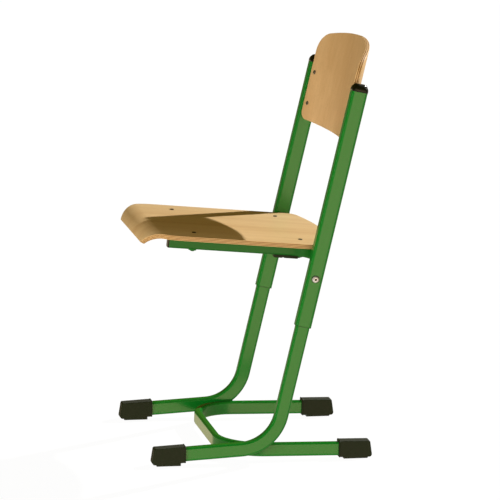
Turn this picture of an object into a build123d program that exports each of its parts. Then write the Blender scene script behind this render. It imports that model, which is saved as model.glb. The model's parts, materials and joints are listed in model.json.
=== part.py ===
"""Height-adjustable school chair: steel tube frame, plywood seat and backrest.

Millimetres. +Z is up, the sitter faces -Y and the sitter's left is +X.
The origin is on the floor, in the middle of the chair's footprint.
"""
from build123d import *
import math
import os

# ---------------------------------------------------------------- footprint and side frames
half_depth = 255.0          # origin to the seat's tip
half_track = 210.0          # centre plane of each leg and upright, from the chair's centre
lean_deg = 12.5             # uprights lean back by this much

# ---------------------------------------------------------------- tubes
wall = 2.0
leg_tube = (20.0, 30.0)     # leg and brace tube: across X, and in the plane of the bend
leg_corner = 5.0
upright_tube = (25.0, 35.0)  # upright, which the leg telescopes into
upright_corner = 6.0
rail_tube = (20.0, 25.0)    # seat rails and cross tube
rail_corner = 4.0
plug_gap = 0.15             # plastic plugs stand this far inside a tube's bore

# ---------------------------------------------------------------- uprights and legs
upright_foot_y = 84.5       # lower end of an upright, on its centre line
upright_foot_z = 296.0
upright_length = 517.0
leg_run_slope_deg = 3.0     # the leg's floor run rises towards the rear
leg_bend_radius = 92.0
leg_run_y = -162.5          # a point on the floor run's centre line
leg_run_z = 23.5
leg_top_margin = 32.0       # leg tube above its slot
guide_lip = 0.2             # plastic guide stands this far outside the leg tube
guide_flange = 3.0
guide_plug_depth = 15.0

# ---------------------------------------------------------------- height clamp
clamp_height = 106.5        # clamp screw above the upright's lower end
travel_down = 61.5
travel_up = 18.0
screw_radius = 4.0          # M8
screw_hole_radius = 4.5
nut_bore_clearance = 0.05
screw_length = 15.5
screw_tip_chamfer = 0.8
screw_head_radius = 7.0
screw_head_height = 4.2
screw_edge_round = 3.4
hex_across_flats = 5.0
hex_depth = 2.6
washer_radius = 8.0
washer_bore_radius = 4.2
washer_thickness = 1.6
slot_end_gap = 2.0          # slot beyond the screw at either stop
nut_plate = (6.0, 20.0, 34.0)  # thickness, width and length
nut_plate_corner = 2.0
nut_plate_gap = 0.3         # nut plate to the leg tube's inside

# ---------------------------------------------------------------- rear brace
brace_tube = (15.0, 30.0)
brace_x = half_track - (leg_tube[0] + brace_tube[0]) / 2
brace_bar_y = -80.0         # centre line of the brace's cross bar
brace_bar_z = 25.0
brace_slope_deg = 1.0       # arms fall towards the rear
brace_bend_radius = 92.5

# ---------------------------------------------------------------- foot caps
cap_length = 74.0
cap_width = 27.0
cap_end_wall = 11.0         # solid plastic beyond the tube's end
cap_roof = 4.0              # plastic over the tube
cap_floor = 2.0             # plastic under the tube
cap_end_lean = 5.5          # end face leans in by this much at the top
cap_toe_round = 6.0
cap_top_round = 4.0
cap_mouth_round = 1.0
cap_side_round = 2.4
cap_front_end_y = -240.0
cap_rear_end_y = 246.0
sole_inset = 11.0           # sole starts and ends this far in from the cap's ends
sole_bevel = 2.0
sole_width = 24.0

# ---------------------------------------------------------------- upright end caps
dome_lip = 0.3              # cap stands this far outside the tube
dome_side_height = 13.5
dome_height = 16.4
dome_corner = 8.0
dome_round = 5.0
dome_plug_depth = 14.0

# ---------------------------------------------------------------- seat
seat_slope_deg = 4.9       # seat falls towards the rear
seat_datum_z = 459.9        # underside of the seat above the uprights' lower ends
ply = 10.0
seat_half_width = 187.0
seat_front_corner = 80.0
seat_rear_corner = 24.0
seat_rear_bow_radius = 620.0
seat_rear_reach = 88.0      # rear edge at the centre line, behind the seat datum
seat_roll_radius = 35.0     # underside of the front roll
seat_roll_deg = 69.0

# ---------------------------------------------------------------- seat rails
rail_x = 134.0
rail_front = -279.0
rail_bend_radius = 45.0
rail_weld_point = 34.0      # rail's centre line at the upright, behind the seat datum
cross_tube_at = -110.0
rail_cap_thickness = 2.5
rail_cap_plug = 14.0
rail_cap_round = 1.5
guard_from = -48.0
guard_to = 8.0
guard_thickness = 6.0
guard_width = 17.0
guard_notch_at = -28.0
guard_notch_radius = 2.0
guard_round = 1.2
guard_rivet_gap = 0.5

# ---------------------------------------------------------------- rivets
rivet_radius = 2.5
rivet_hole_clearance = 0.1
rivet_lift = 0.03           # flat rivet heads sit this far off the backrest's hollow
rivet_head_radius = 4.5
rivet_head_height = 1.6
rivet_edge_round = 1.0
rivet_mouth_radius = 1.6    # open end of the tubular rivet's head
rivet_mouth_depth = 1.0
rivet_tail_radius = 4.2
rivet_tail_height = 2.4
rivet_washer_radius = 8.5
rivet_washer_thickness = 2.4
front_rivet_at = -226.0
rear_rivet_at = 7.0

# ---------------------------------------------------------------- backrest
back_half_width = 196.0
back_bottom = 390.5         # along the uprights, from their lower ends
back_top = 613.0
back_front_radius = 480.0
back_front_mid = 29.7       # front surface at the centre, behind the uprights' centre line
back_ply = 9.0
back_top_bow_radius = 600.0
back_top_corner = 50.0
back_bottom_corner = 17.0
back_rivet_x = 183.0
back_rivet_heights = (427.0, 497.0)
bracket_thickness = 3.0
bracket_inner_x = 173.0
bracket_margin = 15.0       # bracket above and below its rivets

# ---------------------------------------------------------------- derived frames
rad = math.radians
side_sign = {"left": 1.0, "right": -1.0}
upright_face_x = half_track + upright_tube[0] / 2
upright_inner_x = half_track - upright_tube[0] / 2

# Lean frame: x across, y square to the uprights towards the rear, z along the uprights.
lean = Plane(
    origin=(0, upright_foot_y, upright_foot_z),
    x_dir=(1, 0, 0),
    z_dir=(0, math.sin(rad(lean_deg)), math.cos(rad(lean_deg))),
)
# Seat frame: x across, y along the seat towards the rear, z up from the seat's underside.
seat_frame = Plane(
    origin=(0, upright_foot_y, seat_datum_z),
    x_dir=(1, 0, 0),
    z_dir=(0, math.sin(rad(seat_slope_deg)), math.cos(rad(seat_slope_deg))),
)


# ---------------------------------------------------------------- shared shapes
def tube_section(size, corner):
    """Hollow rounded rectangle, centred."""
    outer = RectangleRounded(size[0], size[1], corner)
    inner = RectangleRounded(size[0] - 2 * wall, size[1] - 2 * wall, corner - wall / 2)
    return outer - inner


def bent_tube(path, size, corner, across):
    """Tube swept along a path. Its first dimension stays along the direction `across`."""
    start = Plane(origin=path @ 0, x_dir=across, z_dir=path % 0)
    return sweep(start * tube_section(size, corner), path=path)


def tube_plug(size, corner, depth):
    """Solid plug that fills a tube's bore, from z = 0 down."""
    bore = RectangleRounded(
        size[0] - 2 * (wall + plug_gap),
        size[1] - 2 * (wall + plug_gap),
        corner - wall / 2,
    )
    return extrude(bore, -depth)


def rounded_prism_x(profile, width, round_radius):
    """Profile in the YZ plane, extruded both ways along X, with rounded side outlines."""
    body = extrude(profile, width / 2, both=True)
    rims = body.edges().filter_by(lambda e: abs(abs(e.center().X) - width / 2) < 0.01)
    return fillet(rims, round_radius)


def ring(outer_radius, inner_radius, height):
    return extrude(Circle(outer_radius) - Circle(inner_radius), height)


def rivet(grip):
    """Tubular rivet along z: head above z = 0, tail below z = -grip."""
    head = extrude(Circle(rivet_head_radius), rivet_head_height)
    head = fillet(head.edges().group_by(Axis.Z)[-1], rivet_edge_round)
    shank = extrude(Circle(rivet_radius), -grip)
    tail = Pos(0, 0, -grip) * extrude(Circle(rivet_tail_radius), -rivet_tail_height)
    tail = fillet(tail.edges().group_by(Axis.Z)[0], rivet_edge_round)
    mouth = Pos(0, 0, rivet_head_height) * extrude(Circle(rivet_mouth_radius), -rivet_mouth_depth)
    return head + shank + tail - mouth


# ---------------------------------------------------------------- side frames
def lean_point(height):
    """Point on an upright's centre line, in the chair's YZ plane."""
    return (
        upright_foot_y + height * math.sin(rad(lean_deg)),
        upright_foot_z + height * math.cos(rad(lean_deg)),
    )


slot_bottom = clamp_height - travel_down - screw_radius - slot_end_gap
slot_top = clamp_height + travel_up + screw_radius + slot_end_gap
leg_top = slot_top + leg_top_margin
leg_run_rise = math.tan(rad(leg_run_slope_deg))
# The floor run's centre line meets the upright's centre line at the bend's corner.
corner_drop = (
    (upright_foot_z - leg_run_z - (upright_foot_y - leg_run_y) * leg_run_rise)
    / (math.cos(rad(lean_deg)) - math.sin(rad(lean_deg)) * leg_run_rise)
)
leg_front_y = cap_front_end_y + cap_end_wall


def leg_path(x):
    corner_y, corner_z = lean_point(-corner_drop)
    top_y, top_z = lean_point(leg_top)
    front_z = leg_run_z + (leg_front_y - leg_run_y) * leg_run_rise
    return FilletPolyline(
        (x, leg_front_y, front_z),
        (x, corner_y, corner_z),
        (x, top_y, top_z),
        radius=leg_bend_radius,
    )


def make_leg(sign):
    """Leg tube: floor run, bend, and the straight part that telescopes into the upright."""
    tube = bent_tube(leg_path(sign * half_track), leg_tube, leg_corner, (1, 0, 0))
    slot = extrude(SlotOverall(slot_top - slot_bottom, 2 * screw_hole_radius), wall, both=True)
    outer_wall = Pos(sign * (half_track + leg_tube[0] / 2), 0, (slot_top + slot_bottom) / 2)
    return tube - lean.location * outer_wall * Rot(0, 90, 0) * slot


def make_leg_top_plug(sign):
    """Plastic guide that keeps the leg's top from rattling in the upright."""
    width, depth = (side + 2 * guide_lip for side in leg_tube)
    flange = extrude(RectangleRounded(width, depth, leg_corner), guide_flange)
    plug = tube_plug(leg_tube, leg_corner, guide_plug_depth)
    return lean.location * Pos(sign * half_track, 0, leg_top) * (flange + plug)


def make_upright(sign):
    tube = extrude(tube_section(upright_tube, upright_corner), upright_length)
    hole = Rot(0, 90, 0) * Cylinder(screw_hole_radius, 3 * wall)
    tube -= Pos(sign * upright_tube[0] / 2, 0, clamp_height) * hole
    return lean.location * Pos(sign * half_track, 0, 0) * tube


def make_upright_cap(sign):
    """Cushion-shaped end cap on a plug."""
    half = upright_tube[1] / 2 + dome_lip
    crown = ThreePointArc(
        (0, -half, dome_side_height), (0, 0, dome_height), (0, half, dome_side_height)
    )
    skirt = Polyline(crown @ 1, (0, half, 0), (0, -half, 0), crown @ 0)
    face = make_face(crown + skirt)
    face = fillet(face.vertices().group_by(Axis.Z)[-1], dome_corner)
    width = upright_tube[0] + 2 * dome_lip
    dome = extrude(face, width / 2, both=True)
    rims = dome.edges().filter_by(lambda e: abs(abs(e.center().X) - width / 2) < 0.01)
    dome = fillet(rims.filter_by(lambda e: e.center().Z > dome_lip), dome_round)
    cap = dome + tube_plug(upright_tube, upright_corner, dome_plug_depth)
    return lean.location * Pos(sign * half_track, 0, upright_length) * cap


# ---------------------------------------------------------------- rear brace
brace_slope = math.tan(rad(brace_slope_deg))
brace_rear_y = cap_rear_end_y - cap_end_wall


def brace_height(y):
    return brace_bar_z - (y - brace_bar_y) * brace_slope


def make_brace():
    """One U-shaped tube: both rear arms and the cross bar between the legs."""
    corners = [
        (brace_x, brace_rear_y, brace_height(brace_rear_y)),
        (brace_x, brace_bar_y, brace_bar_z),
        (-brace_x, brace_bar_y, brace_bar_z),
        (-brace_x, brace_rear_y, brace_height(brace_rear_y)),
    ]
    path = FilletPolyline(*corners, radius=brace_bend_radius)
    return bent_tube(path, brace_tube, leg_corner, (1, 0, 0))


# ---------------------------------------------------------------- foot caps
def make_foot_cap(tube, x, end_y, heading, end_z, rise):
    """Plastic cap over a tube's end. heading is +1 where the tube runs towards +Y from
    the cap's outer end at end_y, end_z is the tube's centre there, and rise its slope."""

    def at(along, height):
        return (0, end_y + heading * along, height)

    def underside(along):
        return end_z - tube[1] / 2 - cap_floor + rise * along

    roof = end_z + tube[1] / 2 + cap_roof
    toe = at(0, underside(0))
    toe_top = at(cap_end_lean, roof + rise * cap_end_lean)
    mouth_top = at(cap_length, roof + rise * cap_length)
    mouth_bottom = at(cap_length, underside(cap_length))
    face = make_face(Polyline(toe, toe_top, mouth_top, mouth_bottom, close=True))
    for corner, radius in (
        (toe, cap_toe_round),
        (toe_top, cap_top_round),
        (mouth_top, cap_mouth_round),
        (mouth_bottom, cap_mouth_round),
    ):
        face = fillet(face.vertices().sort_by_distance(corner)[0], radius)
    body = rounded_prism_x(face, cap_width, cap_side_round)

    heel = cap_length - sole_inset
    pad = Polyline(
        at(sole_inset - sole_bevel, underside(sole_inset) + cap_floor / 2),
        at(sole_inset, 0),
        at(heel, 0),
        at(heel, underside(heel) + cap_floor / 2),
        close=True,
    )
    sole = extrude(make_face(pad), sole_width / 2, both=True)

    pocket_plane = Plane(
        origin=at(cap_end_wall, end_z + rise * cap_end_wall),
        x_dir=(1, 0, 0),
        z_dir=(0, heading * math.cos(math.atan(rise)), math.sin(math.atan(rise))),
    )
    pocket = extrude(RectangleRounded(tube[0], tube[1], leg_corner), cap_length)
    return Pos(x, 0, 0) * (body + sole - pocket_plane.location * pocket)


def foot_caps():
    caps = {}
    front_z = leg_run_z + (cap_front_end_y - leg_run_y) * leg_run_rise
    rear_z = brace_height(cap_rear_end_y)
    for name, sign in side_sign.items():
        caps[f"front_{name}_foot_cap"] = make_foot_cap(
            leg_tube, sign * half_track, cap_front_end_y, 1, front_z, leg_run_rise
        )
        caps[f"rear_{name}_foot_cap"] = make_foot_cap(
            brace_tube, sign * brace_x, cap_rear_end_y, -1, rear_z, brace_slope
        )
    return caps


# ---------------------------------------------------------------- height clamp
def clamp_location(sign, x):
    """Places a shape built along +z so that it points outwards from the upright."""
    return lean.location * Pos(sign * x, 0, clamp_height) * Rot(0, sign * 90, 0)


washer_seat_x = upright_face_x
head_seat_x = washer_seat_x + washer_thickness
nut_outer_x = half_track + leg_tube[0] / 2 - wall - nut_plate_gap


def make_nut_plate(sign):
    """Threaded plate inside the leg tube, which the clamp screw draws against the wall."""
    thickness, width, length = nut_plate
    plate = extrude(RectangleRounded(length, width, nut_plate_corner), -thickness)
    bore = Cylinder(screw_radius + nut_bore_clearance, 3 * thickness)
    return clamp_location(sign, nut_outer_x) * (plate - bore)


def make_clamp_washer(sign):
    return clamp_location(sign, washer_seat_x) * ring(
        washer_radius, washer_bore_radius, washer_thickness
    )


def make_clamp_screw(sign):
    """Button-head screw with a hexagon socket."""
    head = extrude(Circle(screw_head_radius), screw_head_height)
    head = fillet(head.edges().group_by(Axis.Z)[-1], screw_edge_round)
    socket = Pos(0, 0, screw_head_height) * extrude(
        RegularPolygon(hex_across_flats / 2, 6, major_radius=False), -hex_depth
    )
    shank = extrude(Circle(screw_radius), -screw_length)
    shank = chamfer(shank.edges().group_by(Axis.Z)[0], screw_tip_chamfer)
    return clamp_location(sign, head_seat_x) * (head + shank - socket)


# ---------------------------------------------------------------- seat rails
rail_center_z = -rail_tube[1] / 2
rivet_drill = Cylinder(rivet_radius + rivet_hole_clearance, 3 * rail_tube[1])


def make_seat_rail(sign):
    """Tube from an upright's inner face, bent forwards under the seat."""
    path = FilletPolyline(
        (sign * upright_inner_x, rail_weld_point, rail_center_z),
        (sign * rail_x, rail_weld_point, rail_center_z),
        (sign * rail_x, rail_front, rail_center_z),
        radius=rail_bend_radius,
    )
    rail = bent_tube(path, rail_tube, rail_corner, (0, 1, 0))
    for at in (front_rivet_at, rear_rivet_at):
        rail -= Pos(sign * rail_x, at, rail_center_z) * rivet_drill
    return seat_frame.location * rail


def make_rail_cap(sign):
    flange = extrude(RectangleRounded(*rail_tube, rail_corner), rail_cap_thickness)
    flange = fillet(flange.edges().group_by(Axis.Z)[-1], rail_cap_round)
    cap = flange + tube_plug(rail_tube, rail_corner, rail_cap_plug)
    facing_front = Plane(
        origin=(sign * rail_x, rail_front, rail_center_z), x_dir=(1, 0, 0), z_dir=(0, -1, 0)
    )
    return seat_frame.location * facing_front.location * cap


def make_cross_tube():
    """Tube welded between the two rails."""
    half_length = rail_x - rail_tube[0] / 2
    lying = Plane(
        origin=(-half_length, cross_tube_at, rail_center_z), x_dir=(0, 1, 0), z_dir=(1, 0, 0)
    )
    tube = extrude(tube_section(rail_tube, rail_corner), 2 * half_length)
    return seat_frame.location * lying.location * tube


def make_stacking_guard(sign):
    """Plastic strip under a rail, which rests on the seat of the chair below in a stack."""
    strip = Box(guard_width, guard_to - guard_from, guard_thickness)
    strip = fillet(strip.edges().group_by(Axis.Z)[0], guard_round)
    strip = Pos(0, (guard_to + guard_from) / 2, -guard_thickness / 2) * strip
    notch = Rot(0, 90, 0) * Cylinder(guard_notch_radius, 2 * guard_width)
    rivet_room = Cylinder(rivet_washer_radius + guard_rivet_gap, 4 * guard_thickness)
    strip -= Pos(0, guard_notch_at, -guard_thickness) * notch
    strip -= Pos(0, rear_rivet_at, 0) * rivet_room
    return seat_frame.location * Pos(sign * rail_x, 0, -rail_tube[1]) * strip


# ---------------------------------------------------------------- seat
# The roll's centre is placed so that the seat's tip lies at the front of the footprint.
seat_slope = rad(seat_slope_deg)
tip_radius = seat_roll_radius + ply
tip_reach = tip_radius * math.sin(rad(seat_roll_deg) - seat_slope)
roll_center_y = -(
    half_depth + upright_foot_y - seat_roll_radius * math.sin(seat_slope) - tip_reach
) / math.cos(seat_slope)


def seat_outline():
    """Plan outline: straight front and sides, bowed rear edge."""
    w = seat_half_width
    front = roll_center_y - tip_radius
    bow = seat_rear_bow_radius - math.sqrt(seat_rear_bow_radius**2 - w**2)
    rear = ThreePointArc((-w, seat_rear_reach - bow), (0, seat_rear_reach), (w, seat_rear_reach - bow))
    sides = Polyline(rear @ 1, (w, front), (-w, front), rear @ 0)
    face = make_face(rear + sides)
    face = fillet(face.vertices().group_by(Axis.Y)[0], seat_front_corner)
    return fillet(face.vertices().group_by(Axis.Y)[-1], seat_rear_corner)


def roll_arc(radius):
    """Arc about the front roll, from the flat of the seat down to its tip."""
    turns = [rad(turn) for turn in (0, seat_roll_deg / 2, seat_roll_deg)]
    return ThreePointArc(*[
        (0, roll_center_y - radius * math.sin(turn), radius * math.cos(turn) - seat_roll_radius)
        for turn in turns
    ])


def seat_profile():
    """Side profile of the plywood: flat, then rolled down over the front edge."""
    lower = roll_arc(seat_roll_radius)
    upper = roll_arc(tip_radius)
    rear = 2 * seat_rear_reach
    flat = Polyline(lower @ 0, (0, rear, 0), (0, rear, ply), upper @ 0)
    return make_face(flat + upper + Line(upper @ 1, lower @ 1) + lower)


def make_seat():
    sheet = extrude(seat_profile(), seat_half_width + ply, both=True)
    blank = extrude(seat_outline(), 2 * tip_radius, both=True)
    seat = sheet & blank
    for x in (-rail_x, rail_x):
        for at in (front_rivet_at, rear_rivet_at):
            seat -= Pos(x, at, 0) * rivet_drill
    return seat_frame.location * seat


def seat_rivets(at):
    grip = ply + rail_tube[1] + rivet_washer_thickness
    return [
        seat_frame.location * Pos(x, at, ply) * rivet(grip) for x in (-rail_x, rail_x)
    ]


def seat_rivet_washers():
    washer = ring(rivet_washer_radius, rivet_radius + rivet_hole_clearance, rivet_washer_thickness)
    top = -rail_tube[1] - rivet_washer_thickness
    return [
        seat_frame.location * Pos(x, at, top) * washer
        for x in (-rail_x, rail_x)
        for at in (front_rivet_at, rear_rivet_at)
    ]


# ---------------------------------------------------------------- backrest
back_center_y = back_front_mid - back_front_radius


def curved_sheet(inner_radius, thickness, bottom, top):
    """Upright sheet bent about the backrest's axis, in the lean frame."""
    sheet = ring(inner_radius + thickness, inner_radius, top - bottom)
    return Pos(0, back_center_y, bottom) * sheet


def back_outline():
    """Front view: straight bottom and sides, bowed top edge."""
    w = back_half_width
    side_top = back_top - (back_top_bow_radius - math.sqrt(back_top_bow_radius**2 - w**2))
    bow = ThreePointArc((w, 0, side_top), (0, 0, back_top), (-w, 0, side_top))
    face = make_face(bow + Polyline(bow @ 1, (-w, 0, back_bottom), (w, 0, back_bottom), bow @ 0))
    face = fillet(face.vertices().group_by(Axis.Z)[-1], back_top_corner)
    return fillet(face.vertices().group_by(Axis.Z)[0], back_bottom_corner)


def back_normal_location(x, height):
    """Point on the backrest's front, with z pointing at the sitter."""
    angle = math.asin(x / back_front_radius)
    return Plane(
        origin=(x, back_center_y + back_front_radius * math.cos(angle), height),
        x_dir=(0, 0, 1),
        z_dir=(-math.sin(angle), -math.cos(angle), 0),
    ).location


def back_rivet_places():
    return [(x, h) for x in (-back_rivet_x, back_rivet_x) for h in back_rivet_heights]


def drill_back_rivets(shape):
    for x, height in back_rivet_places():
        shape -= back_normal_location(x, height) * rivet_drill
    return shape


def make_backrest():
    sheet = curved_sheet(back_front_radius, back_ply, back_bottom - ply, back_top + ply)
    blank = extrude(back_outline(), 2 * back_front_radius, dir=(0, 1, 0))
    front_of_axis = Pos(0, -back_front_radius / 2, 0) * blank
    return lean.location * drill_back_rivets(sheet & front_of_axis)


def make_bracket(sign):
    """Curved plate welded to an upright's inner face, behind the plywood."""
    bottom = min(back_rivet_heights) - bracket_margin
    top = max(back_rivet_heights) + bracket_margin
    rear_radius = back_front_radius + back_ply
    sheet = curved_sheet(rear_radius, bracket_thickness, bottom, top)
    width = upright_inner_x - bracket_inner_x
    window = Box(width, 4 * ply, top - bottom)
    window = Pos(sign * (bracket_inner_x + width / 2), 0, (bottom + top) / 2) * window
    return lean.location * drill_back_rivets(sheet & window)


def back_rivets():
    fastener = Pos(0, 0, rivet_lift) * rivet(back_ply + bracket_thickness + 2 * rivet_lift)
    return [
        lean.location * back_normal_location(x, height) * fastener
        for x, height in back_rivet_places()
    ]


# ---------------------------------------------------------------- the chair
def build_nodes():
    nodes = {
        "rear_brace_tube": make_brace(),
        "seat_cross_tube": make_cross_tube(),
        "seat": make_seat(),
        "front_seat_rivets": seat_rivets(front_rivet_at),
        "rear_seat_rivets": seat_rivets(rear_rivet_at),
        "seat_rivet_washers": seat_rivet_washers(),
        "backrest": make_backrest(),
        "backrest_rivets": back_rivets(),
    }
    nodes.update(foot_caps())
    for name, sign in side_sign.items():
        nodes[f"{name}_leg_tube"] = make_leg(sign)
        nodes[f"{name}_leg_top_plug"] = make_leg_top_plug(sign)
        nodes[f"{name}_upright_tube"] = make_upright(sign)
        nodes[f"{name}_upright_end_cap"] = make_upright_cap(sign)
        nodes[f"{name}_seat_rail"] = make_seat_rail(sign)
        nodes[f"{name}_rail_end_cap"] = make_rail_cap(sign)
        nodes[f"{name}_stacking_guard"] = make_stacking_guard(sign)
        nodes[f"{name}_backrest_bracket"] = make_bracket(sign)
        nodes[f"{name}_nut_plate"] = make_nut_plate(sign)
        nodes[f"{name}_clamp_washer"] = make_clamp_washer(sign)
        nodes[f"{name}_clamp_screw"] = make_clamp_screw(sign)
    return nodes


def main():
    os.makedirs("parts", exist_ok=True)
    for name, shape in build_nodes().items():
        if isinstance(shape, list):
            shape = Compound(children=shape)
        shape.label = name
        export_step(shape, f"parts/{name}.step")


main()
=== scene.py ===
"""Height-adjustable school chair: materials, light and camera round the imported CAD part.

Metres, in the CAD part's frame: +Z up, the sitter faces -Y, +X is the sitter's left.
"""

import json
import math

import bmesh
import bpy
from mathutils import Matrix, Vector


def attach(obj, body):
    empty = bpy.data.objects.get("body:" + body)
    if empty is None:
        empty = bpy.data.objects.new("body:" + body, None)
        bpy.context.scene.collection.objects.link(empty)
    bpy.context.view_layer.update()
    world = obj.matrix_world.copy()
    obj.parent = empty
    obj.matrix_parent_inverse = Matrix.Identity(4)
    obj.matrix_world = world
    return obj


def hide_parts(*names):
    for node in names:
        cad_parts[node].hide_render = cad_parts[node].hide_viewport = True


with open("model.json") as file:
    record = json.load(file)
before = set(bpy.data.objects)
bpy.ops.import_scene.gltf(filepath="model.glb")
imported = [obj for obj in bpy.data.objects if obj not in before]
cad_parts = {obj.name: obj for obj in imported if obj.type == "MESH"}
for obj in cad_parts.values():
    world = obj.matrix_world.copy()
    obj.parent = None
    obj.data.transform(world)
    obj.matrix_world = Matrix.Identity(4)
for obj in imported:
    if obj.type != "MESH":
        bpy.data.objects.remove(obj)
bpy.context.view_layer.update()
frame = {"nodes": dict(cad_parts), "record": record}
nodes = frame["nodes"]

# ---------------------------------------------------------------- shape facts the looks need
sides = {"left": 1.0, "right": -1.0}
half_track = 0.210
sideways = Vector((1, 0, 0))
upwards = Vector((0, 0, 1))

lean = math.radians(12.5)
lean_origin = Vector((0, 0.0845, 0.296))                     # between the uprights' lower ends
lean_across = Vector((0, math.cos(lean), -math.sin(lean)))   # towards the rear
lean_along = Vector((0, math.sin(lean), math.cos(lean)))     # up the uprights

seat_slope = math.radians(4.9)
seat_origin = Vector((0, 0.0845, 0.4599))                    # on the seat's underside
seat_across = Vector((0, math.cos(seat_slope), -math.sin(seat_slope)))
seat_up = Vector((0, math.sin(seat_slope), math.cos(seat_slope)))

upright_half_width = 0.0125
upright_half_depth = 0.0175
upright_corner = 0.006
upright_length = 0.517
upright_inner_x = half_track - upright_half_width

tube_half_height = 0.015      # leg and brace tubes
leg_half_width = 0.010
leg_inner_x = half_track - leg_half_width
leg_run_y = -0.1625           # a point on the floor run's centre line
leg_run_z = 0.0235
leg_run_slope = math.radians(3)
leg_bend_radius = 0.092

brace_x = 0.1925
brace_bar_y = -0.080
brace_bar_z = 0.025
brace_slope = math.radians(1)

rail_half_width = 0.010
rail_half_height = 0.0125
rail_corner = 0.004

# ---------------------------------------------------------------- camera
camera_target = Vector((0, 0.0099, 0.4217))
camera_azimuth = math.radians(78.53)
camera_elevation = math.radians(11.21)
camera_distance = 8.3923
camera_roll = math.radians(1.03)
camera_lens_mm = 277.7
camera_sensor_mm = 36.0
camera_reach = 200


def make_camera():
    data = bpy.data.cameras.new("camera")
    data.lens = camera_lens_mm
    data.sensor_width = camera_sensor_mm
    data.clip_end = camera_reach
    camera = bpy.data.objects.new("camera", data)
    bpy.context.scene.collection.objects.link(camera)
    flat = math.cos(camera_elevation)
    back = Vector((
        math.sin(camera_azimuth) * flat,
        -math.cos(camera_azimuth) * flat,
        math.sin(camera_elevation),
    ))
    right = Vector((math.cos(camera_azimuth), math.sin(camera_azimuth), 0))
    up = back.cross(right)
    rolled_right = right * math.cos(camera_roll) + up * math.sin(camera_roll)
    rolled_up = up * math.cos(camera_roll) - right * math.sin(camera_roll)
    axes = Matrix((rolled_right, rolled_up, back)).transposed().to_4x4()
    camera.matrix_world = Matrix.Translation(camera_target + back * camera_distance) @ axes
    bpy.context.scene.camera = camera


# ---------------------------------------------------------------- floor and light
floor_half_size = 60
floor_gray = 0.05
floor_roughness = 0.9
floor_glow = 0.97
light_aim = Vector((0, 0, 0.4))
# Sockets of a Mix node that mixes colours.
mix_factor = 0
mix_first = 6
mix_second = 7
mix_result = 2
# Surround's colour from straight down (0) over the horizon (0.5) to straight up (1).
world_stops = (
    (0.0, (0.50, 0.42, 0.30)),
    (0.40, (0.55, 0.46, 0.32)),
    (0.47, (0.20, 0.16, 0.09)),
    (0.56, (0.12, 0.085, 0.012)),
    (1.0, (0.10, 0.07, 0.008)),
)
# Soft glows: azimuth, elevation, spread and colour.
world_glows = (
    (102, -5, 17, (1.9, 1.2, 0.72)),
    (285, -19, 13, (0.75, 0.55, 0.33)),
)


def direction(azimuth_deg, elevation_deg):
    """Unit vector towards a light. Azimuth 0 is the chair's front, 90 its left."""
    a = math.radians(azimuth_deg)
    e = math.radians(elevation_deg)
    return Vector((math.sin(a) * math.cos(e), -math.cos(a) * math.cos(e), math.sin(e)))


def area_light(name, azimuth_deg, elevation_deg, distance, size, power, color):
    """Large soft lamp that lights the chair but isn't mirrored in its gloss."""
    data = bpy.data.lights.new(name, "AREA")
    data.shape = "RECTANGLE"
    data.size, data.size_y = size
    data.energy = power
    data.color = color
    light = bpy.data.objects.new(name, data)
    bpy.context.scene.collection.objects.link(light)
    towards = direction(azimuth_deg, elevation_deg)
    light.location = light_aim + towards * distance
    light.rotation_mode = "QUATERNION"
    light.rotation_quaternion = towards.to_track_quat("Z", "Y")
    light.visible_glossy = False


def sun_light(name, azimuth_deg, elevation_deg, strength, angle_deg, color):
    data = bpy.data.lights.new(name, "SUN")
    data.energy = strength
    data.angle = math.radians(angle_deg)
    data.color = color
    light = bpy.data.objects.new(name, data)
    bpy.context.scene.collection.objects.link(light)
    light.rotation_mode = "QUATERNION"
    light.rotation_quaternion = direction(azimuth_deg, elevation_deg).to_track_quat("Z", "Y")


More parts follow.
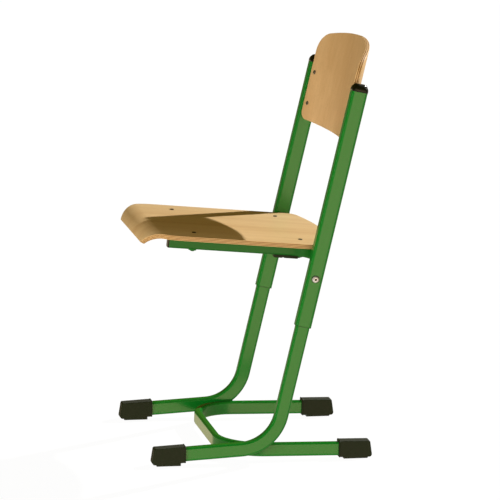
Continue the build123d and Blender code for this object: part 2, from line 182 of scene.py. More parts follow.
def make_world():
    """Dim warm studio with soft glows that the gloss mirrors, before a pale backdrop."""
    world = bpy.data.worlds.new("studio")
    bpy.context.scene.world = world
    world.use_nodes = True
    tree = world.node_tree
    tree.nodes.clear()
    output = tree.nodes.new("ShaderNodeOutputWorld")
    background = tree.nodes.new("ShaderNodeBackground")
    towards = tree.nodes.new("ShaderNodeTexCoord").outputs["Generated"]
    split = tree.nodes.new("ShaderNodeSeparateXYZ")
    height = tree.nodes.new("ShaderNodeMapRange")
    height.inputs["From Min"].default_value = -1
    ramp = tree.nodes.new("ShaderNodeValToRGB")
    while len(ramp.color_ramp.elements) < len(world_stops):
        ramp.color_ramp.elements.new(0.5)
    for element, (at, value) in zip(ramp.color_ramp.elements, world_stops):
        element.position = at
        element.color = (*value, 1)
    tree.links.new(towards, split.inputs[0])
    tree.links.new(split.outputs["Z"], height.inputs["Value"])
    tree.links.new(height.outputs["Result"], ramp.inputs["Fac"])
    light = ramp.outputs["Color"]
    for azimuth_deg, elevation_deg, spread_deg, color in world_glows:
        facing = tree.nodes.new("ShaderNodeVectorMath")
        facing.operation = "DOT_PRODUCT"
        facing.inputs[1].default_value = direction(azimuth_deg, elevation_deg)
        fade = tree.nodes.new("ShaderNodeMapRange")
        fade.interpolation_type = "SMOOTHSTEP"
        fade.inputs["From Min"].default_value = math.cos(math.radians(spread_deg))
        glow = tree.nodes.new("ShaderNodeVectorMath")
        glow.operation = "SCALE"
        glow.inputs[0].default_value = color
        total = tree.nodes.new("ShaderNodeVectorMath")
        tree.links.new(towards, facing.inputs[0])
        tree.links.new(facing.outputs["Value"], fade.inputs["Value"])
        tree.links.new(fade.outputs["Result"], glow.inputs["Scale"])
        tree.links.new(light, total.inputs[0])
        tree.links.new(glow.outputs["Vector"], total.inputs[1])
        light = total.outputs["Vector"]
    seen = tree.nodes.new("ShaderNodeLightPath")
    backdrop = tree.nodes.new("ShaderNodeMix")
    backdrop.data_type = "RGBA"
    backdrop.inputs[mix_second].default_value = (1, 1, 1, 1)
    tree.links.new(seen.outputs["Is Camera Ray"], backdrop.inputs[mix_factor])
    tree.links.new(light, backdrop.inputs[mix_first])
    tree.links.new(backdrop.outputs[mix_result], background.inputs["Color"])
    tree.links.new(background.outputs[0], output.inputs["Surface"])


def make_floor():
    """Wide pale floor that glows for the camera only: the chair is lit by the lamps and the world."""
    mesh = bpy.data.meshes.new("floor")
    shape = bmesh.new()
    bmesh.ops.create_grid(shape, x_segments=1, y_segments=1, size=floor_half_size)
    shape.to_mesh(mesh)
    shape.free()
    floor = bpy.data.objects.new("floor", mesh)
    bpy.context.scene.collection.objects.link(floor)
    material = bpy.data.materials.new("floor_pale")
    material.use_nodes = True
    shader = material.node_tree.nodes["Principled BSDF"]
    shader.inputs["Base Color"].default_value = (floor_gray, floor_gray, floor_gray, 1)
    shader.inputs["Roughness"].default_value = floor_roughness
    shader.inputs["Specular IOR Level"].default_value = 0.0
    shader.inputs["Emission Color"].default_value = (1, 1, 1, 1)
    shader.inputs["Emission Strength"].default_value = floor_glow
    mesh.materials.append(material)
    floor.visible_diffuse = False
    floor.visible_glossy = False
    floor.visible_shadow = False


# ---------------------------------------------------------------- material helpers
class Nodes:
    """A material's node tree, with short calls for the nodes these finishes use."""

    def __init__(self, name):
        self.material = bpy.data.materials.new(name)
        self.material.use_nodes = True
        self.tree = self.material.node_tree
        self.shader = self.tree.nodes["Principled BSDF"]

    def link(self, source, target):
        self.tree.links.new(source, target)

    def set(self, **values):
        for key, value in values.items():
            self.shader.inputs[key.replace("_", " ")].default_value = value

    def position(self, scale=(1, 1, 1)):
        """The chair's own coordinates, in metres, scaled."""
        coordinates = self.tree.nodes.new("ShaderNodeTexCoord")
        mapping = self.tree.nodes.new("ShaderNodeMapping")
        mapping.inputs["Scale"].default_value = scale
        self.link(coordinates.outputs["Object"], mapping.inputs["Vector"])
        return mapping.outputs["Vector"]

    def attribute(self, name):
        node = self.tree.nodes.new("ShaderNodeAttribute")
        node.attribute_name = name
        return node.outputs["Vector"]

    def noise(self, vector, scale, detail=2.0, distortion=0.0, roughness=0.5):
        node = self.tree.nodes.new("ShaderNodeTexNoise")
        node.inputs["Scale"].default_value = scale
        node.inputs["Detail"].default_value = detail
        node.inputs["Distortion"].default_value = distortion
        node.inputs["Roughness"].default_value = roughness
        self.link(vector, node.inputs["Vector"])
        return node.outputs["Fac"]

    def ramp(self, value, stops):
        """Colour or grey ramp: stops are (position, grey) or (position, (r, g, b))."""
        node = self.tree.nodes.new("ShaderNodeValToRGB")
        while len(node.color_ramp.elements) < len(stops):
            node.color_ramp.elements.new(0.5)
        for element, (at, color) in zip(node.color_ramp.elements, stops):
            element.position = at
            if not isinstance(color, tuple):
                color = (color, color, color)
            element.color = (*color, 1)
        self.link(value, node.inputs["Fac"])
        return node.outputs["Color"]

    def mix(self, factor, first, second):
        """Mixes a linked colour with a second colour, by a linked factor."""
        node = self.tree.nodes.new("ShaderNodeMix")
        node.data_type = "RGBA"
        self.link(factor, node.inputs[mix_factor])
        self.link(first, node.inputs[mix_first])
        node.inputs[mix_second].default_value = (*second, 1)
        return node.outputs[mix_result]

    def maths(self, operation, value, factor=None, added=None):
        """One arithmetic node on a linked value."""
        node = self.tree.nodes.new("ShaderNodeMath")
        node.operation = operation
        self.link(value, node.inputs[0])
        if factor is not None:
            node.inputs[1].default_value = factor
        if added is not None:
            self.link(added, node.inputs[2])
        return node.outputs[0]

    def bump(self, height, strength, distance):
        node = self.tree.nodes.new("ShaderNodeBump")
        node.inputs["Strength"].default_value = strength
        node.inputs["Distance"].default_value = distance
        self.link(height, node.inputs["Height"])
        self.link(node.outputs["Normal"], self.shader.inputs["Normal"])


# ---------------------------------------------------------------- finishes
# Noise scales are per metre: a higher one is finer.
paint_speckle_scale = 1400
paint_peel_scale = 420
paint_gloss_spread = 0.04
plastic_cloud_scale = 90
plastic_darkest = 0.75
plastic_roughness_spread = 0.12
metal_grain_scale = 700
metal_dullest = 0.7
metal_roughness_spread = 0.1
grain_stretch = 0.07
pore_stretch = 0.03
broad_scale = 14
streak_scale = 95
pore_scale = 900
pore_darkness = 0.62
edge_wander_scale = 9
edge_wander = 0.04
edge_fibre_scale = 700
glue_line = (0.14, 0.055, 0.010)
long_grain_pale = (0.80, 0.54, 0.25)
long_grain_dark = (0.72, 0.47, 0.20)
end_grain_pale = (0.30, 0.13, 0.035)
end_grain_dark = (0.26, 0.11, 0.028)
edge_fibre = (0.30, 0.15, 0.045)


def green_paint(name, light, dark, gloss):
    """Powder coat: fine speckle and faint orange peel."""
    paint = Nodes(name)
    place = paint.position()
    speckle = paint.noise(place, paint_speckle_scale, detail=2)
    paint.link(paint.ramp(speckle, ((0.3, dark), (0.7, light))), paint.shader.inputs["Base Color"])
    peel = paint.noise(place, paint_peel_scale, detail=1)
    roughness = paint.ramp(peel, ((0.3, gloss), (0.7, gloss + paint_gloss_spread)))
    paint.link(roughness, paint.shader.inputs["Roughness"])
    paint.set(Specular_IOR_Level=0.5)
    paint.bump(peel, strength=0.015, distance=0.0002)
    return paint.material


def molded_plastic(name, color, roughness, texture_scale, texture_strength):
    """Plastic with a cloudy tone and a fine moulded texture."""
    plastic = Nodes(name)
    place = plastic.position()
    cloud = plastic.noise(place, plastic_cloud_scale, detail=4)
    darker = tuple(plastic_darkest * channel for channel in color)
    plastic.link(plastic.ramp(cloud, ((0.3, darker), (0.7, color))), plastic.shader.inputs["Base Color"])
    plastic.link(
        plastic.ramp(cloud, ((0.3, roughness), (0.7, roughness + plastic_roughness_spread))),
        plastic.shader.inputs["Roughness"],
    )
    texture = plastic.noise(place, texture_scale, detail=2)
    plastic.bump(texture, strength=texture_strength, distance=0.0003)
    return plastic.material


def plated_metal(name, color, roughness, metallic=1.0):
    """Metal whose tone and gloss vary a little."""
    metal = Nodes(name)
    grain = metal.noise(metal.position(), metal_grain_scale, detail=3)
    duller = tuple(metal_dullest * channel for channel in color)
    metal.link(metal.ramp(grain, ((0.3, duller), (0.7, color))), metal.shader.inputs["Base Color"])
    metal.link(
        metal.ramp(grain, ((0.3, roughness), (0.7, roughness + metal_roughness_spread))),
        metal.shader.inputs["Roughness"],
    )
    metal.set(Metallic=metallic)
    metal.bump(grain, strength=0.05, distance=0.0002)
    return metal.material


def wood_face(name, light, middle, dark, grain_axis):
    """Lacquered rotary-cut beech, its grain along one axis."""
    wood = Nodes(name)
    long_grain = [1, 1, 1]
    long_grain[grain_axis] = grain_stretch
    hair_grain = [1, 1, 1]
    hair_grain[grain_axis] = pore_stretch
    grain_place = wood.position(scale=long_grain)
    broad = wood.noise(grain_place, broad_scale, detail=3, distortion=0.6)
    streaks = wood.noise(grain_place, streak_scale, detail=4, distortion=0.3, roughness=0.6)
    fine = wood.noise(wood.position(scale=hair_grain), pore_scale, detail=2)
    color = wood.ramp(broad, ((0.25, dark), (0.5, middle), (0.75, light)))
    color = wood.mix(wood.ramp(streaks, ((0.35, 0.0), (0.75, 0.45))), color, dark)
    pores = wood.ramp(fine, ((0.60, 0.0), (0.70, 0.35)))
    color = wood.mix(pores, color, tuple(pore_darkness * channel for channel in dark))
    wood.link(color, wood.shader.inputs["Base Color"])
    wood.link(wood.ramp(streaks, ((0.3, 0.42), (0.7, 0.52))), wood.shader.inputs["Roughness"])
    wood.set(Specular_IOR_Level=0.4, Coat_Weight=0.45, Coat_Roughness=0.28)
    wood.bump(fine, strength=0.12, distance=0.0002)
    return wood.material


def wood_edge(name, plies):
    """Cut plywood edge: alternating long and end grain, following the sheet's thickness."""
    wood = Nodes(name)
    split = wood.tree.nodes.new("ShaderNodeSeparateXYZ")
    wood.link(wood.attribute("ply_depth"), split.inputs[0])
    wander = wood.noise(wood.position(), edge_wander_scale, detail=1)
    depth = wood.maths("MULTIPLY_ADD", wander, factor=edge_wander, added=split.outputs["X"])
    ply_pairs = wood.maths("MULTIPLY", depth, factor=plies / 2)
    layers = wood.ramp(
        wood.maths("FRACT", ply_pairs),
        (
            (0.0, glue_line),
            (0.10, long_grain_dark),
            (0.48, long_grain_pale),
            (0.56, glue_line),
            (0.70, end_grain_dark),
            (0.92, end_grain_pale),
            (1.0, glue_line),
        ),
    )
    fibres = wood.noise(wood.position(), edge_fibre_scale, detail=3)
    color = wood.mix(wood.ramp(fibres, ((0.4, 0.0), (0.8, 0.35))), layers, edge_fibre)
    wood.link(color, wood.shader.inputs["Base Color"])
    wood.set(Roughness=0.55, Coat_Weight=0.1, Coat_Roughness=0.35)
    wood.bump(fibres, strength=0.15, distance=0.0002)
    return wood.material


# ---------------------------------------------------------------- plywood pieces
tiny = 1e-9
slice_tolerance = 1e-7
ply_edge_round = 0.0010
edge_round_steps = 3
face_tilt = 0.75              # faces flatter than this are the sheet's top and bottom
smooth_below = math.radians(40)
corner_steps = 8
bow_steps = 12

seat_ply = 0.010
seat_half_width = 0.187
seat_front_corner = 0.080
seat_rear_corner = 0.024
seat_bow_radius = 0.620
seat_rear_reach = 0.088
roll_center = -0.2971
roll_radius = 0.035
roll_turn = math.radians(69)
roll_steps = 24
roll_middle = roll_radius + seat_ply / 2
roll_outer = roll_radius + seat_ply
seat_corner_steps = 28
seat_corner_crowding = 1.5    # points crowd towards the corner's front

back_ply = 0.009
back_half_width = 0.196
back_bottom = 0.3905
back_top = 0.613
back_radius = 0.480
back_center = 0.0297 - back_radius
back_bow_radius = 0.600
back_top_corner = 0.050
back_bottom_corner = 0.017
back_top_corner_steps = 14
back_slices = 48


def arc(center, radius, start, end, steps):
    """Points on an arc between two angles in degrees, as (u, v) pairs."""
    angles = [math.radians(start + (end - start) * i / steps) for i in range(steps + 1)]
    return [(center[0] + radius * math.cos(a), center[1] + radius * math.sin(a)) for a in angles]


def mirrored(right_side):
    """Closes an outline whose right half is given from the bottom up."""
    return right_side + [(-u, v) for u, v in reversed(right_side) if u > tiny]


def flat_sheet(outline, thickness):
    """Flat sheet with softened edges: outline in (u, v), thickness along w from 0."""
    shape = bmesh.new()
    ring = [shape.verts.new((u, v, 0)) for u, v in outline]
    bottom = shape.faces.new(ring)
    bottom.normal_flip()
    made = bmesh.ops.extrude_face_region(shape, geom=[bottom])
    lifted = [v for v in made["geom"] if isinstance(v, bmesh.types.BMVert)]
    bmesh.ops.translate(shape, verts=lifted, vec=(0, 0, thickness))
    bmesh.ops.recalc_face_normals(shape, faces=shape.faces)
    rims = [e for e in shape.edges if abs(e.verts[0].co.z - e.verts[1].co.z) < tiny]
    bmesh.ops.bevel(
        shape, geom=rims, offset=ply_edge_round, segments=edge_round_steps, profile=0.5, affect="EDGES"
    )
    return shape


def sliced(shape, axis, positions):
    """Cuts the sheet across one axis, so that it can bend there."""
    normal = Vector((0, 0, 0))
    normal[axis] = 1
    for position in positions:
        everything = [*shape.verts, *shape.edges, *shape.faces]
        bmesh.ops.bisect_plane(
            shape, geom=everything, dist=slice_tolerance, plane_co=normal * position, plane_no=normal
        )


def finish_sheet(name, shape, thickness, bend, face_material, edge_material):
    """Bends the flat sheet into place and marks its faces, edges and depth."""
    shape.normal_update()
    for face in shape.faces:
        face.material_index = 0 if abs(face.normal.z) > face_tilt else 1
        face.smooth = True
    depth = shape.verts.layers.float_vector.new("ply_depth")
    for vertex in shape.verts:
        vertex[depth] = Vector((vertex.co.z / thickness, 0, 0))
        vertex.co = bend(vertex.co)
    bmesh.ops.recalc_face_normals(shape, faces=shape.faces)
    mesh = bpy.data.meshes.new(name)
    shape.to_mesh(mesh)
    shape.free()
    mesh.set_sharp_from_angle(angle=smooth_below)
    mesh.materials.append(face_material)
    mesh.materials.append(edge_material)
    piece = bpy.data.objects.new(name, mesh)
    bpy.context.scene.collection.objects.link(piece)
    return piece


def seat_outline():
    """Outline of the flattened seat in (across, along), the roll unrolled at mid thickness."""
    right = []
    start = roll_center - roll_outer * math.sin(roll_turn)
    corner_end = roll_center - roll_outer + seat_front_corner
    for i in range(seat_corner_steps + 1):
        y = start + (corner_end - start) * (i / seat_corner_steps) ** seat_corner_crowding
        inset = math.sqrt(max(seat_front_corner**2 - (corner_end - y) ** 2, 0))
        x = seat_half_width - seat_front_corner + inset
        if y < roll_center:
            y = roll_center - roll_middle * math.asin(min((roll_center - y) / roll_outer, 1))
        right.append((x, y))
    bow_center = seat_rear_reach - seat_bow_radius
    corner_x = seat_half_width - seat_rear_corner
    reach = seat_bow_radius - seat_rear_corner
    corner_y = bow_center + math.sqrt(reach**2 - corner_x**2)
    bow_start = math.degrees(math.atan2(corner_y - bow_center, corner_x))
    right += arc((corner_x, corner_y), seat_rear_corner, 0, bow_start, corner_steps)
    right += arc((0, bow_center), seat_bow_radius, bow_start, 90, bow_steps)[1:]
    return mirrored(right)


def bend_seat(place):
    """Flat seat to its place on the chair, the front rolled down."""
    x, along, depth = place
    if along >= roll_center:
        y, z = along, depth
    else:
        turn = (roll_center - along) / roll_middle
        y = roll_center - (roll_radius + depth) * math.sin(turn)
        z = (roll_radius + depth) * math.cos(turn) - roll_radius
    return seat_origin + Vector((x, 0, 0)) + seat_across * y + seat_up * z


def make_seat(face_material, edge_material):
    """Plywood seat with ply lines round its edge."""
    shape = flat_sheet(seat_outline(), seat_ply)
    roll_length = roll_middle * roll_turn
    sliced(shape, 1, [roll_center - roll_length * i / roll_steps for i in range(roll_steps)])
    seat = finish_sheet("seat_plywood", shape, seat_ply, bend_seat, face_material, edge_material)
    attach(seat, "seat_frame")
    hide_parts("seat")


def back_outline():
    """Outline of the flattened backrest in (across, along the uprights)."""
    right = [(0, back_bottom)]
    corner = back_bottom_corner
    right += arc((back_half_width - corner, back_bottom + corner), corner, -90, 0, corner_steps)
    corner = back_top_corner
    corner_x = back_half_width - corner
    bow_center = back_top - back_bow_radius
    reach = back_bow_radius - corner
    corner_v = bow_center + math.sqrt(reach**2 - corner_x**2)
    bow_start = math.degrees(math.atan2(corner_v - bow_center, corner_x))
    right += arc((corner_x, corner_v), corner, 0, bow_start, back_top_corner_steps)
    right += arc((0, bow_center), back_bow_radius, bow_start, 90, bow_steps)[1:]
    return mirrored(right)


def bend_back(place):
    """Flat backrest to its place on the chair, curved round the sitter."""
    x, height, depth = place
    y = back_center + math.sqrt((back_radius + depth) ** 2 - x**2)
    return lean_origin + Vector((x, 0, 0)) + lean_across * y + lean_along * height


def make_backrest(face_material, edge_material):
    """Plywood backrest with ply lines round its edge."""
    shape = flat_sheet(back_outline(), back_ply)
    sliced(shape, 0, [back_half_width * (2 * i / back_slices - 1) for i in range(1, back_slices)])
    back = finish_sheet(
        "backrest_plywood", shape, back_ply, bend_back, face_material, edge_material
    )
    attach(back, "seat_frame")
    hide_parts("backrest")


# ---------------------------------------------------------------- swept pieces
loop_corner_steps = 5


def swept(name, rings, closed):
    """Skin over rings of points: closed joins the last ring to the first, else the ends are capped."""
    shape = bmesh.new()
    loops = [[shape.verts.new(point) for point in ring] for ring in rings]
    count = len(loops[0])
    pairs = list(zip(loops, loops[1:]))
    if closed:
        pairs.append((loops[-1], loops[0]))
    else:
        shape.faces.new(loops[0])
        shape.faces.new(loops[-1])
    for first, second in pairs:
        for i in range(count):
            j = (i + 1) % count
            shape.faces.new((first[i], first[j], second[j], second[i]))
    bmesh.ops.recalc_face_normals(shape, faces=shape.faces)
    for face in shape.faces:
        face.smooth = len(face.verts) == 4
    mesh = bpy.data.meshes.new(name)
    shape.to_mesh(mesh)
    shape.free()
    piece = bpy.data.objects.new(name, mesh)
    bpy.context.scene.collection.objects.link(piece)
    return piece


def evenly(path, step, closed):
    """Points at an even spacing along a path."""
    corners = path + [path[0]] if closed else path
    points = []
    for start, end in zip(corners, corners[1:]):
        count = max(1, round((end - start).length / step))
        points += [start.lerp(end, i / count) for i in range(count)]
    return points if closed else points + [corners[-1]]


def rounded_loop(center, u, v, half_u, half_v, corner):
    """Points round a rectangle with rounded corners, in the plane of u and v."""
    loop = []
    for quarter, (su, sv) in enumerate(((1, 1), (-1, 1), (-1, -1), (1, -1))):
        for i in range(loop_corner_steps + 1):
            a = math.radians(90 * (quarter + i / loop_corner_steps))
            along_u = su * (half_u - corner) + corner * math.cos(a)
            along_v = sv * (half_v - corner) + corner * math.sin(a)
            loop.append(center + u * along_u + v * along_v)
    return loop


# ---------------------------------------------------------------- welds
bead_step = 0.0011
bead_sides = 10
bead_ripple = 0.28            # share of the radius lost in a hollow
bead_ripple_steps = 3
bead_tip = 0.45               # share of the radius left at an open bead's end
bead_tip_growth = 0.3         # and gained at each step from it
mostly_sideways = 0.9

rail_bead_radius = 0.0016
rail_bead_x = upright_inner_x - 0.0006
rail_weld_along = 0.034       # along the seat, where the rail meets its upright
cross_bead_x = 0.1236
cross_weld_along = -0.110

bracket_bead_radius = 0.0015
bracket_bead_x = upright_inner_x - 0.0004
bracket_bottom = 0.412
bracket_top = 0.512
bracket_thickness = 0.003
bracket_weld_length = 0.022
bracket_weld_margin = 0.004   # bracket's end to its weld

brace_bead_radius = 0.0017
brace_weld_from_y = -0.010
brace_upper_to_y = 0.016
brace_upper_bead_x = leg_inner_x - 0.0008
brace_upper_sink = 0.0005     # bead's centre below the brace's top
brace_lower_to_y = 0.014
brace_lower_points = 5
brace_lower_bead_x = leg_inner_x + 0.0004
brace_lower_lift = 0.0006
leg_bend_start_y = -0.0445    # lower edge of the leg, where its bend starts
leg_bend_start_z = 0.0147


def weld_bead(name, body, path, radius, material, closed=False):
    """Rippled bead of weld metal along a path, painted over with the frame."""
    points = evenly(path, bead_step, closed)
    last = len(points) - 1
    rings = []
    for i, point in enumerate(points):
        before = points[i - 1] if i or closed else point
        after = points[(i + 1) % len(points)] if i < last or closed else point
        along = (after - before).normalized()
        if abs(along.x) > mostly_sideways:
            side = along.orthogonal().normalized()
        else:
            side = along.cross(sideways).normalized()
        other = along.cross(side)
        ripple = radius * (1 - bead_ripple * (i % bead_ripple_steps) / (bead_ripple_steps - 1))
        if not closed:
            ripple *= min(1, bead_tip + bead_tip_growth * min(i, last - i))
        rings.append([
            point + (side * math.cos(a) + other * math.sin(a)) * ripple
            for a in (math.tau * k / bead_sides for k in range(bead_sides))
        ])
    bead = swept(name, rings, closed)
    bead.data.materials.append(material)
    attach(bead, body)


def leg_bend_height(y):
    """Height of the line that the brace's lower weld follows, under the leg's bend."""
    outer_radius = leg_bend_radius + tube_half_height
    turn = math.asin((y - leg_bend_start_y) / outer_radius + math.sin(leg_run_slope))
    return leg_bend_start_z + outer_radius * (math.cos(leg_run_slope) - math.cos(turn))


def make_rail_welds(side, sign, material):
    """Beads round the rail's end at the upright, and round the cross tube's end at the rail."""
    ends = (
        ("rail_weld", rail_bead_x, rail_weld_along),
        ("cross_tube_weld", cross_bead_x, cross_weld_along),
    )
    for label, x, along in ends:
        middle = seat_origin + sideways * sign * x + seat_across * along - seat_up * rail_half_height
        loop = rounded_loop(
            middle, seat_across, seat_up, rail_half_width, rail_half_height, rail_corner
        )
        weld_bead(f"{side}_{label}", "seat_frame", loop, rail_bead_radius, material, closed=True)


def make_bracket_welds(side, sign, material):
    """Two short beads between the backrest's bracket and its upright."""
    starts = (
        ("lower", bracket_bottom + bracket_weld_margin),
        ("upper", bracket_top - bracket_weld_margin - bracket_weld_length),
    )
    for label, start in starts:
        path = [
            bend_back((sign * bracket_bead_x, start + length, back_ply + bracket_thickness))
            for length in (0.0, bracket_weld_length)
        ]
        name = f"{side}_bracket_{label}_weld"
        weld_bead(name, "seat_frame", path, bracket_bead_radius, material)


def make_brace_welds(side, sign, material):
    """Beads over and under the place where the brace's arm lies against the leg."""
    brace_top = brace_bar_z + tube_half_height - brace_upper_sink
    upper = [
        Vector((sign * brace_upper_bead_x, y, brace_top - (y - brace_bar_y) * math.tan(brace_slope)))
        for y in (brace_weld_from_y, brace_upper_to_y)
    ]
    weld_bead(f"{side}_brace_upper_weld", "base", upper, brace_bead_radius, material)
    step = (brace_lower_to_y - brace_weld_from_y) / (brace_lower_points - 1)
    lower = [
        Vector((sign * brace_lower_bead_x, y, leg_bend_height(y) + brace_lower_lift))
        for y in (brace_weld_from_y + step * i for i in range(brace_lower_points))
    ]
    weld_bead(f"{side}_brace_lower_weld", "base", lower, brace_bead_radius, material)


def make_welds(material):
    """Weld beads where the frame's tubes and brackets meet."""
    for side, sign in sides.items():
        make_rail_welds(side, sign, material)
        make_bracket_welds(side, sign, material)
        make_brace_welds(side, sign, material)


# ---------------------------------------------------------------- painted shade rings at the uprights' lower ends
shade_ring_radius = 0.0006
shade_ring_inset = 0.0003
shade_ring_sides = 8


def make_mouth_shade_rings(material):
    """Dark ring round each upright's cut lower end: painted shade of the gap where the leg slides in."""
    for side, sign in sides.items():
        middle = lean_origin + sideways * sign * half_track + lean_along * shade_ring_radius
        rings = []
        for i in range(shade_ring_sides):
            turn = math.tau * i / shade_ring_sides
            out = shade_ring_radius * math.cos(turn) - shade_ring_inset
            rings.append(rounded_loop(
                middle + lean_along * shade_ring_radius * math.sin(turn), sideways, lean_across,
                upright_half_width + out, upright_half_depth + out, upright_corner + out,
            ))
        shade_loop = swept(f"{side}_upright_mouth_edge", rings, closed=True)
        shade_loop.data.materials.append(material)
        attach(shade_loop, "seat_frame")


# ---------------------------------------------------------------- foot cap rims
foot_front_y = -0.240         # outer ends of the foot caps
foot_rear_y = 0.246
foot_length = 0.074
foot_half_width = 0.0135
foot_roof = 0.004
foot_floor = 0.002
rim_corner = 0.0028
rim_from_mouth = 0.0034
# The rim's section, from its outer end to the cap's mouth: (along the foot, out from the cap).
rim_profile = (
    (0.0, -0.0008),
    (0.0002, 0.0002),
    (0.0009, 0.0007),
    (0.0019, 0.0007),
    (0.0026, 0.0002),
    (0.0028, -0.0008),
)


def make_cap_rims(material):
    """Raised lip round the mouth of each foot cap."""
    front_rise = math.tan(leg_run_slope)
    rear_rise = math.tan(brace_slope)
    front_z = leg_run_z + (foot_front_y - leg_run_y) * front_rise
    rear_z = brace_bar_z - (foot_rear_y - brace_bar_y) * rear_rise
    caps = (
        ("front", half_track, foot_front_y, 1, front_z, front_rise),
        ("rear", brace_x, foot_rear_y, -1, rear_z, rear_rise),
    )
    for side, sign in sides.items():
        for end, x, end_y, heading, end_z, rise in caps:
            rings = []
            for along, out in rim_profile:
                reach = foot_length - rim_from_mouth + along
                top = end_z + tube_half_height + foot_roof + rise * reach
                bottom = end_z - tube_half_height - foot_floor + rise * reach
                middle = Vector((sign * x, end_y + heading * reach, (top + bottom) / 2))
                rings.append(rounded_loop(
                    middle, sideways, upwards,
                    foot_half_width + out, (top - bottom) / 2 + out, rim_corner + out,
                ))
            rim = swept(f"{end}_{side}_cap_rim", rings, closed=True)
            rim.data.materials.append(material)
            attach(rim, "base")


# ---------------------------------------------------------------- upright end caps
cap_lip = 0.0003              # cap stands this far outside the tube
cap_skirt = 0.003
cap_height = 0.0164
cap_draw_in = 0.0085          # how much narrower each half is at the top
cap_corner_growth = 0.012
cap_least_flat = 0.0002       # straight length left between two corners
cap_steps = 10


def make_upright_caps(material):
    """Cushion-shaped end caps: a short skirt, then a dome whose corners round off as it rises."""
    base_half_width = upright_half_width + cap_lip
    base_half_depth = upright_half_depth + cap_lip
    for side, sign in sides.items():
        base = lean_origin + sideways * sign * half_track + lean_along * upright_length
        rings = [rounded_loop(
            base, sideways, lean_across, base_half_width, base_half_depth, upright_corner,
        )]
        for i in range(cap_steps + 1):
            turn = math.radians(90) * i / cap_steps
            height = cap_skirt + (cap_height - cap_skirt) * math.sin(turn)
            drawn_in = cap_draw_in * (1 - math.cos(turn))
            half_width = base_half_width - drawn_in
            half_depth = base_half_depth - drawn_in
            corner = upright_corner + cap_corner_growth * math.sin(turn) ** 2
            rings.append(rounded_loop(
                base + lean_along * height, sideways, lean_across,
                half_width, half_depth, min(corner, half_width - cap_least_flat),
            ))
        cap = swept(f"{side}_upright_cap_dome", rings, closed=False)
        cap.data.materials.append(material)
        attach(cap, "seat_frame")
        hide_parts(f"{side}_upright_end_cap")


# ---------------------------------------------------------------- finishes on the CAD nodes
clamp_height = 0.1065         # clamp screw above the upright's lower end
socket_reach = 0.0030
socket_floor_x = 0.2254
head_top_x = 0.2281


def dress(node, material):
    """Gives a CAD node a new material."""
    mesh = nodes[node].data
    mesh.materials.clear()
    mesh.materials.append(material)


def paint_socket_shade(node, material):
    """Painted shade inside the hexagon socket of a clamp screw: its inner faces get a dark material."""
    mesh = nodes[node].data
    mesh.materials.append(material)
    axis = lean_origin + lean_along * clamp_height
    for face in mesh.polygons:
        offset = face.center - axis
        away = abs(face.center.x)
        if math.hypot(offset.y, offset.z) < socket_reach and socket_floor_x < away < head_top_x:
            face.material_index = 1


# ---------------------------------------------------------------- the scene
bpy.context.scene.view_settings.view_transform = "Standard"
make_camera()
make_world()
make_floor()
sun_light(
    "key", azimuth_deg=207, elevation_deg=35, strength=4.8, angle_deg=1.2, color=(1.0, 0.97, 0.92)
)
area_light(
    "front_fill", azimuth_deg=36, elevation_deg=4, distance=6.0, size=(4, 2.5), power=265,
    color=(1.0, 0.95, 0.87),
)
area_light(
    "side_fill", azimuth_deg=100, elevation_deg=-6, distance=6.0, size=(4, 4), power=130,
    color=(1.0, 0.96, 0.88),
)

paint = green_paint(
    "green_paint", light=(0.006, 0.205, 0.018), dark=(0.002, 0.150, 0.012), gloss=0.18
)
# Darker, less glossy copy of the green paint for the seat rails and cross tube: its darker tone is
# painted shade from the seat above them.
rail_paint_with_shade = green_paint(
    "rail_paint_with_shade", light=(0.003, 0.125, 0.008), dark=(0.001, 0.085, 0.005), gloss=0.40
)
# Near-black green for the rings at the uprights' lower ends: painted shade of the gap round the leg.
mouth_shade_paint = green_paint(
    "mouth_shade_paint", light=(0.002, 0.06, 0.004), dark=(0.001, 0.04, 0.003), gloss=0.45
)
foot = molded_plastic(
    "foot_plastic", (0.011, 0.018, 0.007), roughness=0.6, texture_scale=1500, texture_strength=0.35
)
end_cap = molded_plastic(
    "gloss_cap", (0.003, 0.005, 0.002), roughness=0.24, texture_scale=400, texture_strength=0.03
)
guide = molded_plastic(
    "guide_plastic", (0.03, 0.03, 0.03), roughness=0.45, texture_scale=800, texture_strength=0.1
)
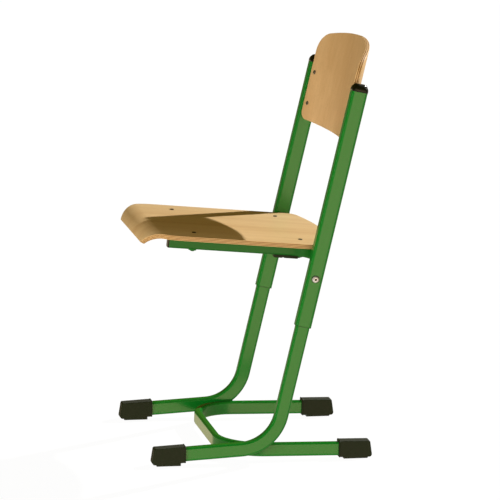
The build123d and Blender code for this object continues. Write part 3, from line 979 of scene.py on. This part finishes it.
# Near-black material for the inside of the screw sockets: painted shade of the recess.
socket = molded_plastic(
    "screw_socket_shade", (0.012, 0.011, 0.008), roughness=0.5, texture_scale=900, texture_strength=0.1
)
washer = molded_plastic(
    "dark_washer", (0.012, 0.012, 0.012), roughness=0.4, texture_scale=800, texture_strength=0.1
)
rivet = plated_metal("bright_rivet", (0.34, 0.32, 0.27), roughness=0.22, metallic=0.8)
# Dark seat rivets: their dark tone is partly their own finish and partly painted shade of their hollow
# centres.
seat_rivet = plated_metal("dark_rivet", (0.09, 0.08, 0.06), roughness=0.35)
screw = plated_metal("zinc_screw", (0.92, 0.94, 0.96), roughness=0.25, metallic=0.55)
steel = plated_metal("plain_steel", (0.45, 0.45, 0.45), roughness=0.35)
seat_face = wood_face(
    "seat_beech", (0.90, 0.655, 0.365), (0.81, 0.565, 0.29), (0.69, 0.44, 0.20), grain_axis=1
)
# The backrest is the same beech as the seat; its darker copy is painted shade.
back_face = wood_face(
    "back_beech", (0.78, 0.525, 0.270), (0.685, 0.440, 0.213), (0.58, 0.355, 0.155), grain_axis=2
)

finish_of_slot = {
    "green_paint": paint,
    "foot_plastic": foot,
    "gloss_cap": end_cap,
    "guide_plastic": guide,
    "bright_rivet": rivet,
    "zinc_screw": screw,
    "plain_steel": steel,
    "dark_washer": washer,
    "beech_plywood": seat_face,
}
for entry in frame["record"]["subparts"]:
    dress(entry["node"], finish_of_slot[entry["material_slot"]])
# The seat rails and cross tube get the darker paint copy, whose tone holds painted shade.
for node in ("left_seat_rail", "right_seat_rail", "seat_cross_tube"):
    dress(node, rail_paint_with_shade)
# Seat rivets get the dark metal, partly painted shade of their hollow centres.
for node in ("front_seat_rivets", "rear_seat_rivets"):
    dress(node, seat_rivet)
# Painted shade in the clamp screws' sockets.
for side in sides:
    paint_socket_shade(f"{side}_clamp_screw", socket)
make_welds(paint)
# Painted shade rings at the uprights' lower ends.
make_mouth_shade_rings(mouth_shade_paint)
make_cap_rims(foot)
make_upright_caps(end_cap)
make_seat(seat_face, wood_edge("seat_edge", plies=7))
make_backrest(back_face, wood_edge("back_edge", plies=5))
